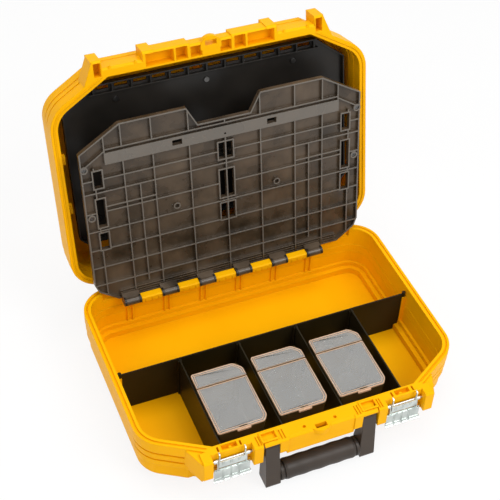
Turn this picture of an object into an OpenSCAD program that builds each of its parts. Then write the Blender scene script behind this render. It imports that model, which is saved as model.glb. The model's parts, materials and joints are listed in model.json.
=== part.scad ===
// Hard tool case: two stepped plastic shells on a rear hinge, a panel and a tool rail in the lid,
// a ribbed leaf that folds down over the base, lift-out dividers and three small-parts bins.
// Millimetres. +X is to the right, +Y to the hinge, +Z up. The origin lies on the floor, midway
// between the front and rear walls of the base, in the plane of symmetry of the shells.

/* [Shells] */
// Width over the rims
case_w = 460; // [440:5:500]
// Depth from the rear face to the main front wall, at the rims
case_d = 322; // [316:2:350]
// Height of the base, floor to rim
base_h = 86; // [86:1:90]
// Height of the lid, rim to roof
lid_h = 76; // [76:1:84]
// Radius of the two rear corners
rear_r = 42; // [36:1:50]
// Radius of the two front shoulders
shoulder_r = 45; // [38:1:52]
// Length of the straight stretch of each side, between its corner and its shoulder
side_run = 205; // [195:1:210]
// Angle between the slanted front corners and the front wall
slant = 31; // [28:1:34]
// Width of the rim face
rim_w = 10; // [9:0.5:11]
// Height of the rim band
rim_h = 18; // [17:0.5:19]
// Height of each ridge round the walls
ridge_h = 9.5; // [9:0.5:10]
// Height of the grooves between the ridges
valley_h = 4; // [3.5:0.5:4]
// Depth of the grooves between the ridges
valley_d = 4; // [3:0.5:4]
// Inset of each ridge against the one above it
ridge_step = 0.75; // [0.5:0.25:1]
// Thickness of floor and roof
floor_t = 3; // [2.5:0.5:4]
// Width of the groove that takes the tongue
groove_w = 2.4; // [2:0.1:3]
// Depth of the groove
groove_d = 2; // [1.5:0.1:3]

/* [Hinge of the lid] */
// Opening angle of the lid
lid_open = 102.5; // [95:0.5:110]
// Distance of the hinge axis behind the rear face
hinge_out = 5; // [5:0.5:7]
// Radius of the knuckles
knuckle_r = 6; // [5.5:0.5:6.5]
// Radius of the hinge pins
hinge_pin_r = 2.5; // [2:0.25:3]
// Distance of each hinge from the middle
hinge_x = 140; // [120:5:160]
// Length of the middle knuckle
hinge_mid = 26; // [20:1:30]
// Length of each outer knuckle
hinge_end = 14; // [10:1:18]
// Width of the feet on the rear walls
foot_w = 34; // [25:1:40]
// Height of the feet on the rear walls
foot_h = 26; // [20:1:32]
// Distance of the feet from the middle
foot_x = 92; // [80:1:96]

/* [Front flange] */
// How far the front blocks stand out
block_out = 14; // [12:0.5:16]
// How far the latch bays stand out
bay_out = 2.5; // [2:0.5:3]
// How far the middle strip stands out
strip_out = 12.5; // [11:0.5:14]
// Width of each latch bay
bay_w = 56; // [54:1:60]
// Distance of the latch bays from the middle
bay_x = 123.5; // [123:0.5:124.5]
// Width of each latch block
block_w = 13; // [11:1:14]
// Height of the base's latch blocks
block_h = 34; // [28:1:38]
// Height of the base's middle strip
strip_h = 33; // [30:1:36]
// Height of the lid's blocks
lid_block_h = 29; // [24:1:34]
// Height of the lid's middle strip
lid_strip_h = 22; // [18:1:26]
// Thickness of the flange's webs
web_t = 3; // [2.5:0.5:4]
// Width of the padlock tab
tab_w = 30; // [26:1:36]
// Thickness of the padlock tab
tab_t = 8; // [6:1:10]
// Width of the padlock slot
slot_w = 16; // [12:1:18]
// Depth of the padlock slot
slot_d = 6.5; // [6:0.5:7]

/* [Handle] */
// Distance between the middles of the two arms
arm_span = 139; // [137:1:141]
// Width of each arm
arm_w = 19.5; // [18:0.5:20]
// Radius of the barrel at the top of each arm
arm_r = 7.5; // [7:0.5:8]
// Distance of the pivot below the rim
pivot_drop = 13.5; // [13:0.5:15]
// Distance of the pivot in front of the main wall
pivot_out = 5.5; // [5:0.5:6]
// Radius of the pivot pins
pivot_pin_r = 3; // [2.5:0.5:4]
// Depth of the arms at their feet
arm_depth = 24; // [22:1:25]
// How far the feet of the arms stand in front of the pivot
foot_out = 16; // [14:1:17]
// How much wider the feet of the arms are than their tops
foot_flare = 3; // [0:0.5:4]
// Radius of the grip
grip_r = 13.5; // [12.5:0.5:13.5]
// Radius of the bar inside the grip
bar_r = 8; // [7:0.5:9]
// Distance of the grip's axis below the rim
grip_drop = 71; // [69:1:71]
// Number of ribs round the grip
grip_ribs = 7; // [5:1:9]

/* [Latches] */
// Thickness of the latch steel
latch_t = 1.2; // [1:0.2:1.4]
// Width of each lever
lever_w = 49; // [46:1:50]
// Height of the grooved plate of the lever
lever_h = 21; // [18:1:22]
// Width of each hook plate
hook_w = 37; // [34:1:38]
// Height of the hook plate
hook_h = 11.5; // [10:0.5:12]
// How far the claws stand above the hook plate
claw_up = 16; // [15.5:0.5:16.5]
// Radius of the pin that carries the lever
latch_pin_r = 1.75; // [1.5:0.25:2]
// Radius of the pin that carries the hook plate
hook_pin_r = 1; // [0.8:0.1:1.2]

/* [Panel in the lid] */
// Depth of the panel behind the rim plane of the lid
panel_in = 30; // [28:1:34]
// Thickness of the panel
panel_t = 3; // [2.5:0.5:4]
// Distance of the panel's sides inside the sides of the case
panel_side = 23; // [22:1:30]
// Distance of the panel's rear edge from the hinge axis
panel_v0 = 60; // [55:1:70]
// Distance of the panel's front edge from the hinge axis
panel_v1 = 298; // [290:1:300]
// Number of slots in the ladder along the front edge
ladder_n = 12; // [8:1:14]
// Height of the panel's edge walls
panel_lip = 7; // [5:1:9]
// Height of the tool rail
rail_h = 13; // [10:1:14]
// Length of the tool rail
rail_w = 330; // [280:10:350]
// Depth of the tool rail
rail_d = 16; // [14:1:20]
// Number of tool notches
rail_n = 10; // [8:1:12]

/* [Leaf over the base] */
// Opening angle of the leaf
leaf_open = 99.4; // [95:0.1:100]
// Distance of the leaf's sides inside the sides of the case
leaf_side = 25; // [25:1:30]
// Length of the leaf
leaf_l = 281; // [270:1:281]
// Height of its ribs
rib_h = 5; // [4:0.5:5]
// Thickness of its ribs
rib_t = 1.8; // [1.4:0.2:2.4]
// Thickness of its plate
leaf_t = 2.3; // [2:0.1:2.5]
// Distance of the ribs' edges above the hinge axis, folded
leaf_up = 8.5; // [8.5:0.1:9]
// Radius of the leaf's knuckles
leaf_knuckle_r = 6; // [5.5:0.5:6]
// Radius of the leaf's hinge rod
rod_r = 2.2; // [1.8:0.2:2.6]
// Number of knuckles on the leaf
leaf_knuckles = 6; // [5:1:6]
// Spacing of the knuckles
knuckle_pitch = 57; // [54:1:58]
// Length of each knuckle
knuckle_l = 25; // [24:1:30]
// Distance of the hinge axis in front of the rear face
leaf_in = 26; // [25.5:0.5:27]

/* [Dividers and bins] */
// Height of the dividers above the floor of the base
divider_h = 72.5; // [66:0.5:73]
// Thickness of the dividers
divider_t = 2; // [1.6:0.1:2.4]
// Distance of the long divider behind the middle of the base
divider_y = 10; // [0:1:20]
// Spacing of the cross dividers
cell_w = 87; // [85:0.5:88]
// Width of each bin
bin_w = 71.5; // [68:0.5:74]
// Length of each bin
bin_l = 104; // [98:1:108]
// Height of each bin with its lid
bin_h = 77; // [71:0.5:77.5]
// Wall of the bins
bin_wall = 1.6; // [1.4:0.1:2]
// Distance of the bins' front edge from the front wall
bin_front = 18; // [12:1:24]
// How far the front of each bin slopes back from its rim to its floor
bin_draft = 3.5; // [3:0.5:5]
// Cut at the right-hand corners of the bins
bin_cut = 9; // [7:1:12]
// Distance of the lid's crease from the bin's rear edge
bin_crease = 26; // [22:1:30]

/* [Hidden] */

$fn = 48;
eps = 0.01;
seat = 0.3;         // gap between pieces that lie next to each other
run = 0.06;         // radial clearance of a pin that turns
side_gap = 0.5;     // gap beside a knuckle or an arm

yellow = [0.98, 0.72, 0.02];
black = [0.09, 0.085, 0.08];
brown_grey = [0.2, 0.18, 0.17];
steel = [0.72, 0.74, 0.74];
frosted = [0.86, 0.78, 0.72, 0.5];

front_y = -case_d / 2;
rear_y = case_d / 2;
half_w = case_w / 2;
shoulder_y = rear_y - rear_r - side_run;
inner_w = half_w - rim_w;
inner_front = front_y + rim_w;
bed_z = floor_t;

hinge_y = rear_y + hinge_out;
hinge_z = base_h;

// Plan of a shell, set in by a distance: round rear corners, round shoulders, slanted front corners.
slant_n = [sin(slant), -cos(slant)];
corner_steps = 12;
shoulder_steps = 8;
function arc(centre, r, from, to, steps) =
    [for (k = [0 : steps]) let (a = from + (to - from) * k / steps) centre + r * [cos(a), sin(a)]];
function shoulder_centre(s) = [half_w - shoulder_r, shoulder_y + s / cos(slant)];
function slant_start(inset, s) = shoulder_centre(s) + (shoulder_r - inset) * slant_n;
function slant_end_x(inset, f, s) =
    slant_start(inset, s)[0] - (slant_start(inset, s)[1] - front_y - inset - f) / tan(slant);
function half_plan(inset, f, s) = concat(
    arc([half_w - rear_r, rear_y - rear_r], rear_r - inset, 90, 0, corner_steps),
    arc(shoulder_centre(s), shoulder_r - inset, 0, slant - 90, shoulder_steps),
    [[slant_end_x(inset, f, s), front_y + inset + f]]
);

// f and s set the front wall and the slanted corners in further than the rest.
module plan(inset, f = 0, s = 0) {
    right = half_plan(inset, f, s);
    n = len(right);
    polygon(concat(right, [for (k = [n - 1 : -1 : 0]) [-right[k][0], right[k][1]]]));
}

// Each row of a profile: depth below the rim plane down to which it reaches, inset, f, s.
band_1 = rim_h + valley_h + ridge_h;
band_2 = band_1 + valley_h + ridge_h;
ridges = [
    [rim_h, 0, 0, 0], [rim_h + valley_h, valley_d, 0, 0], [band_1, ridge_step, 0, 0],
    [band_1 + valley_h, ridge_step + valley_d, 0, 0], [band_2, 2 * ridge_step, 0, 0],
    [band_2 + valley_h, 2 * ridge_step + valley_d, 0, 0]
];
// The base draws in below its flange, for the hand that takes the handle.
base_out = concat(ridges, [
    [base_h - 17, 5, 16, 0], [base_h - 10, 12, 14.5, 0], [base_h - 2, 19, 9.8, 0], [base_h, 23, 10, 0]
]);
base_in = [
    [band_1, rim_w, 0, 0], [band_2, rim_w + 0.6, 0, 0], [base_h - 20, rim_w + 1, 13, 0],
    [base_h - 13, 15.2, 14.5, 0], [base_h - floor_t, 22, 9.7, 0]
];
lid_out = concat(ridges, [
    [lid_h - 14, 3.5, 11, 3], [lid_h - 6, 5, 14, 6], [lid_h, 8.5, 15, 8]
]);
lid_in = [
    [rim_h, rim_w, 0, 0], [band_1, rim_w + 0.9, 0, 0], [band_2, rim_w + 1.8, 0, 0],
    [lid_h - 17, rim_w + 2.4, 6.7, 0], [lid_h - 9, rim_w + 2.4, 11.3, 3.2],
    [lid_h - floor_t, rim_w + 2.8, 14.5, 7.7]
];

// One half of the case from its rim plane down: rim band, ridges and grooves, hollow.
module shell_body(outside, inside) {
    last = len(outside) - 1;
    difference() {
        union() for (i = [0 : last]) {
            row = outside[i];
            top = i == 0 ? 0 : outside[i - 1][0] - (row[1] >= outside[i - 1][1] ? 1 : 0);
            low = row[0] + (i < last && outside[min(i + 1, last)][1] < row[1] ? 1 : 0);
            translate([0, 0, -low]) linear_extrude(low - top) plan(row[1], row[2], row[3]);
        }
        for (row = inside)
            translate([0, 0, -row[0]]) linear_extrude(row[0] + 1) plan(row[1], row[2], row[3]);
    }
}

// Ring on the rim plane for the groove and the tongue
groove_in = rim_w * 0.45;
module rim_ring(width, height) {
    linear_extrude(height) difference() {
        plan(groove_in - width / 2);
        plan(groove_in + width / 2);
        // none along the flange
        translate([-half_w, front_y - 1]) square([case_w, rim_w]);
    }
}

module mirrored() {
    children();
    mirror([1, 0, 0]) children();
}

// Box given by its lowest and highest corners
module box(a, b) {
    translate(a) cube(b - a);
}

// Cylinder along X from x0 to x1
module rod(x0, x1, y, z, r) {
    translate([x0, y, z]) rotate([0, 90, 0]) cylinder(h = x1 - x0, r = r);
}

// Outline in Y and Z, given thickness along X from x0 to x1
module slab_x(x0, x1, outline) {
    translate([x0, 0, 0]) rotate([90, 0, 90]) linear_extrude(x1 - x0) polygon(outline);
}

// The lid is drawn closed; this turns it open about its hinge.
module lid_place() {
    translate([0, hinge_y, hinge_z]) rotate([-lid_open, 0, 0]) translate([0, -hinge_y, -hinge_z])
        children();
}

// ---- front flange -------------------------------------------------------------------------
bay_in = bay_x - bay_w / 2;
bay_end = bay_x + bay_w / 2;
block_in = bay_in - block_w;
arm_x = arm_span / 2;
pocket_in = arm_x - arm_w / 2 - side_gap;
pocket_out = arm_x + arm_w / 2 + side_gap;
inner_block = pocket_in - block_w + 1;
block_y = front_y - block_out;
bay_y = front_y - bay_out;
strip_y = front_y - strip_out;
pivot_y = front_y - pivot_out;
pivot_z = base_h - pivot_drop;
slot_y = front_y - slot_d - 2;
tab_y = block_y - 4;
peg_x = 22;
peg_r = 2.2;
chamfer = 3;

// Block on the flange with its outer front edge cut off
module flange_block(x0, x1, z0, z1, y_out, cut_low, cut = chamfer) {
    z_cut = cut_low ? z0 + cut : z0;
    slab_x(x0, x1, [
        [front_y + rim_w / 2, z1], [y_out + (cut_low ? 0 : cut), z1],
        [y_out, cut_low ? z1 : z1 - cut],
        [y_out, z_cut], [y_out + (cut_low ? cut : 0), z0], [front_y + rim_w / 2, z0]
    ]);
}

// Wedge from an outer block back to the slanted wall, from z0 to z1, set back behind the block's face
gusset_l = [14, 33.8];
module gusset(z0, z1, back) {
    x = bay_end + block_w;
    translate([0, 0, z0]) linear_extrude(z1 - z0) polygon([
        [x - 1, block_y + back], [x, block_y + back], [x + gusset_l[0] - back * 0.4, block_y + gusset_l[1]],
        [x + gusset_l[0] - 6, block_y + gusset_l[1] + 3.6], [bay_end - 4, front_y + 8]
    ]);
}

module base_flange() {
    strip_low = base_h - strip_h;
    difference() {
        union() {
            // main wall of the latch bays
            flange_block(bay_in - 1, bay_end + 1, base_h - block_h + 6, base_h, bay_y, false, 1);
            // blocks beside the bays
            flange_block(bay_end, bay_end + block_w, base_h - block_h, base_h, block_y, false);
            flange_block(block_in, bay_in, base_h - block_h, base_h, block_y, false);
            gusset(base_h - block_h, base_h - chamfer, 0);
            gusset(base_h - band_2 + 0.5, base_h - chamfer - 1, 7);
            // roof over each arm of the handle, and the block beside it
            flange_block(pocket_in - 1, pocket_out + 1, base_h - 5, base_h, block_y, false);
            flange_block(inner_block, pocket_in, base_h - block_h + 8, base_h, block_y, false);
            // middle strip
            flange_block(-eps, inner_block + 1, strip_low, base_h, strip_y, false);
        }
        // the strip is open from below
        box([-1, strip_y + web_t, strip_low - 1], [inner_block - web_t, front_y - eps, base_h - 5]);
    }
}

// Wells in the top of the front wall that the lid's lugs drop into.
module base_wells() {
    // lug well over the arm of the handle, with a groove on each side
    box([pocket_in + 3, block_y + 4, base_h - 3.5], [pocket_out + 1, front_y + 5, base_h + 1]);
    for (x = [pocket_in - 8, pocket_in - 4, pocket_out + 4.5, pocket_out + 8])
        box([x, block_y + 3, base_h - 2], [x + 1.5, front_y + 4, base_h + 1]);
    // well of the latch bay with its peg, and a slit on each side
    difference() {
        box([bay_x - 10, bay_y + 2.5, base_h - 8], [bay_x + 11, front_y + 7.5, base_h + 1]);
        translate([bay_x - 1, front_y + 3.5, base_h - 9]) cylinder(h = 6, r = 2.2);
    }
    for (x = [bay_x - 16, bay_x + 15])
        box([x, bay_y + 2, base_h - 8], [x + 2.5, front_y + 7, base_h + 1]);
}

module padlock_tab(z0) {
    difference() {
        intersection() {
            translate([0, tab_y + tab_w / 2, z0]) cylinder(h = tab_t, r = tab_w / 2);
            box([-tab_w, tab_y - 1, z0 - 1], [tab_w, front_y + 1, z0 + tab_t + 1]);
        }
        box([-slot_w / 2, slot_y - slot_d / 2, z0 - 1], [slot_w / 2, slot_y + slot_d / 2, z0 + tab_t + 1]);
    }
}

lid_lug_x = [32, 51];
module lid_flange() {
    top = base_h;
    flange_block(bay_in - 1, bay_end + 1, top, top + lid_strip_h - 3, bay_y, true);
    flange_block(bay_end, bay_end + block_w + 1, top, top + lid_block_h, block_y, true);
    flange_block(block_in - 2, bay_in, top, top + lid_block_h, block_y, true);
    gusset(top, top + lid_block_h - 1, 0.5);
    flange_block(tab_w / 2 + 15, block_in - 1, top, top + lid_strip_h, strip_y, true);
    flange_block(-eps, tab_w / 2 + 16, top, top + lid_strip_h - 4, strip_y + 2, true);
    // ribs that the claws pull on
    for (x = [bay_x - hook_w / 2 - 0.6, bay_x + hook_w / 2 - 2.2])
        box([x, claw_in + seat, top + seat], [x + 2.8, front_y + 3, top + 1.2]);
}

// Hollows of the front wall and its flange, open towards the rim plane, with ribs between them
module lid_hollows() {
    top = base_h;
    deep = front_y + 7.5;
    box([lid_lug_x[1] + web_t / 2, strip_y + web_t - 0.5, top - 1], [bay_in - 4, deep, top + lid_strip_h - 7]);
    box([lid_lug_x[0] + web_t / 2, strip_y + web_t - 0.5, top - 1],
        [lid_lug_x[1] - web_t / 2, deep, top + lid_strip_h - 7]);
    box([web_t + 10, strip_y + web_t + 2, top - 1], [lid_lug_x[0] - web_t, deep, top + lid_strip_h - 9]);
    // keeper recess in the outer block
    box([bay_end + 1.5, block_y + web_t, top - 1], [bay_end + block_w - 2, front_y + 8, top + 15]);
}

// ---- hinge of the lid ------------------------------------------------------------------------
hinge_len = hinge_mid + 2 * hinge_end + 2 * side_gap;
hinge_x0 = hinge_x - hinge_len / 2;

// x ranges of one hinge's knuckles: the base has the two outer ones, the lid the middle one
base_knuckles = [[hinge_x0, hinge_x0 + hinge_end],
                 [hinge_x0 + hinge_len - hinge_end, hinge_x0 + hinge_len]];
lid_knuckle = [hinge_x0 + hinge_end + side_gap, hinge_x0 + hinge_end + side_gap + hinge_mid];

module knuckle(span, web_low) {
    rod(span[0], span[1], hinge_y, hinge_z, knuckle_r);
    box([span[0], rear_y - rim_w / 2, web_low], [span[1], hinge_y, web_low + knuckle_r * 1.6]);
}

module knuckle_relief(span) {
    rod(span[0] - side_gap, span[1] + side_gap, hinge_y, hinge_z, knuckle_r + side_gap);
}

module rear_feet(z0) {
    for (x = [-foot_x, foot_x])
        box([x - foot_w / 2, rear_y - rim_w * 0.8, z0], [x + foot_w / 2, hinge_y + knuckle_r + 3, z0 + foot_h]);
}

// ---- hinge of the leaf -----------------------------------------------------------------------
leaf_w = case_w - 2 * leaf_side;
leaf_y = rear_y - leaf_in;
leaf_z = base_h - 11.3;
first_knuckle = -(leaf_knuckles - 1) / 2 * knuckle_pitch - 13;
lug_l = knuckle_pitch - knuckle_l - 2 * side_gap;
rear_wall_y = rear_y - rim_w - 0.6;
relief_y = rear_y - rim_w + 3.2;

module leaf_lug(x) {
    slab_x(x - lug_l / 2, x + lug_l / 2, [
        [leaf_y - 4.6, leaf_z - 4.5], [rear_wall_y + 2, leaf_z - 26], [rear_wall_y + 2, leaf_z - 1.5],
        [leaf_y + 7.5, leaf_z - 1.5], [leaf_y + 6, leaf_z + 4.4], [leaf_y - 3, leaf_z + 4.4],
        [leaf_y - 4.6, leaf_z + 2.8]
    ]);
    // three ribs down its sloping face
    for (dx = [-lug_l / 3, -0.6, lug_l / 3 - 1.2])
        slab_x(x + dx, x + dx + 1.2, [
            [leaf_y - 5.6, leaf_z - 4], [rear_wall_y + 2, leaf_z - 28], [rear_wall_y + 2, leaf_z - 20],
            [leaf_y - 3, leaf_z + 2], [leaf_y - 5.6, leaf_z + 1]
        ]);
}

// Guides on the walls of the base that hold the dividers' edges
guide_t = 1.6;
guide_d = 4;
divider_end = inner_w - 2.5;
cross_end = inner_front + 3;
cross_x = [for (k = [0 : 3]) (k - 1.5) * cell_w];
// heights above the floor at which the walls step in, and the room that is left there
step_z = [20, 13];
long_end = [divider_end, half_w - 15.2 - 1.5, half_w - 22 - 1.3];
ledge_z = base_h - band_2;
cross_low_y = [front_y + rim_w + 1 + 13 + 0.6, front_y + 15.2 + 14.5 + 0.5, front_y + 22 + 9.7 + 0.4];

module wall_guides() {
    for (side = [-1, 1], y = [divider_y - divider_t / 2 - seat - guide_t, divider_y + divider_t / 2 + seat])
        box([side > 0 ? divider_end - guide_d : -inner_w - 1, y, step_z[0] - 1],
            [side > 0 ? inner_w + 1 : -divider_end + guide_d, y + guide_t, bed_z + divider_h - 6]);
    for (x = cross_x, dx = [-divider_t / 2 - seat - guide_t, divider_t / 2 + seat])
        box([x + dx, inner_front - 1, ledge_z - eps], [x + dx + guide_t, cross_end + guide_d, bed_z + divider_h - 6]);
}

module base_shell() {
    color(yellow) {
        difference() {
            union() {
                translate([0, 0, base_h]) shell_body(base_out, base_in);
                mirrored() base_flange();
                padlock_tab(base_h - tab_t);
                mirrored() for (span = base_knuckles) knuckle(span, base_h - knuckle_r * 2);
                rear_feet(base_h - band_2 - 17);
                wall_guides();
                for (k = [0 : leaf_knuckles - 2]) leaf_lug(first_knuckle + (k + 0.5) * knuckle_pitch);
                // paired ribs on the rear wall
                for (k = [0 : leaf_knuckles - 1], dx = [-5, 3])
                    box([first_knuckle + k * knuckle_pitch + dx, rear_wall_y - 3, step_z[0] - 1],
                        [first_knuckle + k * knuckle_pitch + dx + 2, rear_wall_y + 2, leaf_z - leaf_knuckle_r - 3]);
            }
            translate([0, 0, base_h - groove_d]) rim_ring(groove_w, groove_d + 1);
            // the leaf swings down past the rear rim here
            box([-leaf_w / 2 + 10, rear_y - rim_w - 1, base_h - 14], [leaf_w / 2 - 10, relief_y, base_h + 1]);
            mirrored() knuckle_relief(lid_knuckle);
            mirrored() base_wells();
            // pockets for the handle's arms, slot for a padlock, peg holes
            mirrored() box([pocket_in, block_y - 1, base_h - 60], [pocket_out, pivot_y + arm_r + 0.6, base_h - 5]);
            box([-slot_w / 2, slot_y - slot_d / 2, base_h - tab_t - 1], [slot_w / 2, slot_y + slot_d / 2, base_h + 1]);
            for (x = [-peg_x, peg_x]) translate([x, front_y - 3, base_h - 4]) cylinder(h = 5, r = peg_r);
            mirrored() rod(inner_block + 4, bay_in - 4, pivot_y, pivot_z, pivot_pin_r + run);
            mirrored() rod(bay_in - 5, bay_end + 5, latch_y, latch_z, latch_pin_r + run);
            mirrored() rod(hinge_x0 - 1, hinge_x0 + hinge_len + 1, hinge_y, hinge_z, hinge_pin_r + run);
            rod(first_knuckle - knuckle_l, first_knuckle + leaf_knuckles * knuckle_pitch, leaf_y, leaf_z, rod_r + run);
        }
    }
}

// ---- lid -------------------------------------------------------------------------------------
roof_z = base_h + lid_h;
panel_z = base_h + panel_in;
function v_to_y(v) = hinge_y - v;
boss_x = half_w - panel_side;
boss_at = [
    [32 - boss_x, 95], [0, 95], [boss_x - 32, 95], [17 - boss_x, 190], [boss_x - 17, 190],
    [77 - boss_x, 270], [0, 270], [boss_x - 77, 270]
];
boss_r = 5;
screw_r = 1.6;
catch_v = [205, 128];

module lid_shell() {
    color(yellow) lid_place() difference() {
        union() {
            difference() {
                union() {
                    translate([0, 0, base_h]) mirror([0, 0, 1]) shell_body(lid_out, lid_in);
                    mirrored() lid_flange();
                }
                mirrored() lid_hollows();
            }
            padlock_tab(base_h);
            mirrored() knuckle(lid_knuckle, base_h + knuckle_r * 0.4);
            rear_feet(roof_z - 17 - foot_h);
            translate([0, 0, base_h - groove_d + 0.6]) rim_ring(groove_w - 0.8, groove_d);
            // bosses that carry the panel
            for (b = boss_at)
                translate([b[0], v_to_y(b[1]), panel_z + panel_t]) cylinder(h = roof_z - panel_z - panel_t - 1, r = boss_r);
            // catches for the leaf on the side walls
            mirrored() for (v = catch_v)
                box([inner_w - 7, v_to_y(v) - 7, base_h + 13], [inner_w + 1, v_to_y(v) + 7, base_h + 20]);
        }
        mirrored() for (span = base_knuckles) knuckle_relief(span);
        mirrored() rod(hinge_x0 - 1, hinge_x0 + hinge_len + 1, hinge_y, hinge_z, hinge_pin_r + run);
        for (b = boss_at)
            translate([b[0], v_to_y(b[1]), panel_z]) cylinder(h = 15, r = screw_r - 0.2);
        box([-slot_w / 2, slot_y - slot_d / 2, base_h - 1], [slot_w / 2, slot_y + slot_d / 2, base_h + lid_h / 2]);
        // shallow field in the roof
        translate([0, 0, roof_z - 1.2]) linear_extrude(2) plan(34);
    }
}

module hinge_pins() {
    color(steel) mirrored() rod(hinge_x0, hinge_x0 + hinge_len, hinge_y, hinge_z, hinge_pin_r);
}

// Outline of the panel, v measured from the hinge axis
panel_w = case_w - 2 * panel_side;
panel_cut = [44, 34];
ladder_h = 11;
module panel_outline(inset) {
    w = panel_w / 2 - inset;
    polygon([
        [-w + 10, v_to_y(panel_v0 + inset)], [w - 10, v_to_y(panel_v0 + inset)],
        [w, v_to_y(panel_v0 + 10 + inset / 2)], [w, v_to_y(panel_v1 - panel_cut[1] - inset / 3)],
        [w - panel_cut[0], v_to_y(panel_v1 - inset)], [-w + panel_cut[0], v_to_y(panel_v1 - inset)],
        [-w, v_to_y(panel_v1 - panel_cut[1] - inset / 3)], [-w, v_to_y(panel_v0 + 10 + inset / 2)]
    ]);
}

module lid_panel() {
    slot_run = panel_w - 2 * panel_cut[0] - 4;
    pitch = slot_run / ladder_n;
    color(black) lid_place() difference() {
        union() {
            translate([0, 0, panel_z]) linear_extrude(panel_t) panel_outline(0);
            translate([0, 0, panel_z - panel_lip]) linear_extrude(panel_lip + 1) difference() {
                panel_outline(0);
                panel_outline(2);
            }
            // rail and rungs of the ladder
            box([-slot_run / 2 - 6, v_to_y(panel_v1 - ladder_h - 2), panel_z - panel_lip],
                [slot_run / 2 + 6, v_to_y(panel_v1 - ladder_h - 4), panel_z + 1]);
            for (k = [0 : ladder_n])
                box([-slot_run / 2 + k * pitch - 1, v_to_y(panel_v1 - 1), panel_z - panel_lip + 1],
                    [-slot_run / 2 + k * pitch + 1, v_to_y(panel_v1 - ladder_h - 3), panel_z + 1]);
        }
        for (k = [0 : ladder_n - 1])
            box([-slot_run / 2 + k * pitch + 4, v_to_y(panel_v1 - 4.5), panel_z - 1],
                [-slot_run / 2 + (k + 1) * pitch - 4, v_to_y(panel_v1 - ladder_h + 0.5), panel_z + panel_t + 1]);
        for (b = boss_at)
            translate([b[0], v_to_y(b[1]), panel_z - 1]) cylinder(h = panel_t + 2, r = screw_r + 0.1);
    }
}

module lid_panel_screws() {
    color(steel) lid_place() for (b = boss_at)
        translate([b[0], v_to_y(b[1]), 0]) {
            translate([0, 0, panel_z - 2.2]) cylinder(h = 2.2, r = 3.6);
            translate([0, 0, panel_z - 1]) cylinder(h = 12, r = screw_r - 0.25);
        }
}

rail_v = 150;
module tool_rail() {
    notch_w = 11;
    pitch = rail_w / rail_n;
    color(black) lid_place() difference() {
        box([-rail_w / 2, v_to_y(rail_v + rail_d / 2), panel_z - rail_h],
            [rail_w / 2, v_to_y(rail_v - rail_d / 2), panel_z]);
        for (k = [0 : rail_n - 1]) {
            x = -rail_w / 2 + (k + 0.5) * pitch;
            box([x - notch_w / 2, v_to_y(rail_v + rail_d), panel_z - rail_h - 1],
                [x + notch_w / 2, v_to_y(rail_v - rail_d), panel_z - rail_h / 2]);
            translate([x, v_to_y(rail_v), panel_z - rail_h / 2]) rotate([90, 0, 0])
                cylinder(h = rail_d + 2, r = notch_w / 2 - eps, center = true);
        }
    }
}

// ---- leaf ------------------------------------------------------------------------------------
rib_z = leaf_z + leaf_up;
leaf_plate_z = rib_z + rib_h;
leaf_v0 = 2.5;
function leaf_to_y(v) = leaf_y - leaf_v0 - v;

module leaf_place() {
    translate([0, leaf_y, leaf_z]) rotate([-leaf_open, 0, 0]) translate([0, -leaf_y, -leaf_z]) children();
}

module leaf_box(x0, v0, z0, x1, v1, z1) {
    box([x0, leaf_to_y(v1), z0], [x1, leaf_to_y(v0), z1]);
}

notch_low = 28;     // depth of the recess in the leaf's free edge
function leaf_half(i) = [
    [leaf_w / 2 - 33 - i / 2, i], [leaf_w / 2 - 5 - i, 20 + i / 3], [leaf_w / 2 - i, 33],
    [leaf_w / 2 - i, leaf_l - 35 - i / 3], [leaf_w / 2 - 58 - i / 2, leaf_l - i],
    [53 + i / 2, leaf_l - i], [38 + i / 2, leaf_l - notch_low - i]
];
module leaf_outline(i) {
    right = [for (p = leaf_half(i)) [p[0], leaf_to_y(p[1])]];
    n = len(right);
    polygon(concat(right, [for (k = [n - 1 : -1 : 0]) [-right[k][0], right[k][1]]]));
}

leaf_x = leaf_w / 2;
full_ribs = [0, leaf_x * 0.254, leaf_x * 0.507, leaf_x * 0.712];
short_ribs = [leaf_x * 0.61, leaf_x - 18];
cross_ribs = [31, 61, 91, 122, 151.5, 183, 203];
bar_v = [224, 241.5];
bar_half = leaf_x - 34;
window_v = [[90, 118], [127, 173], [190, 217]];
window_w = 12;
window_x = leaf_x - 28.5;

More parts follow.
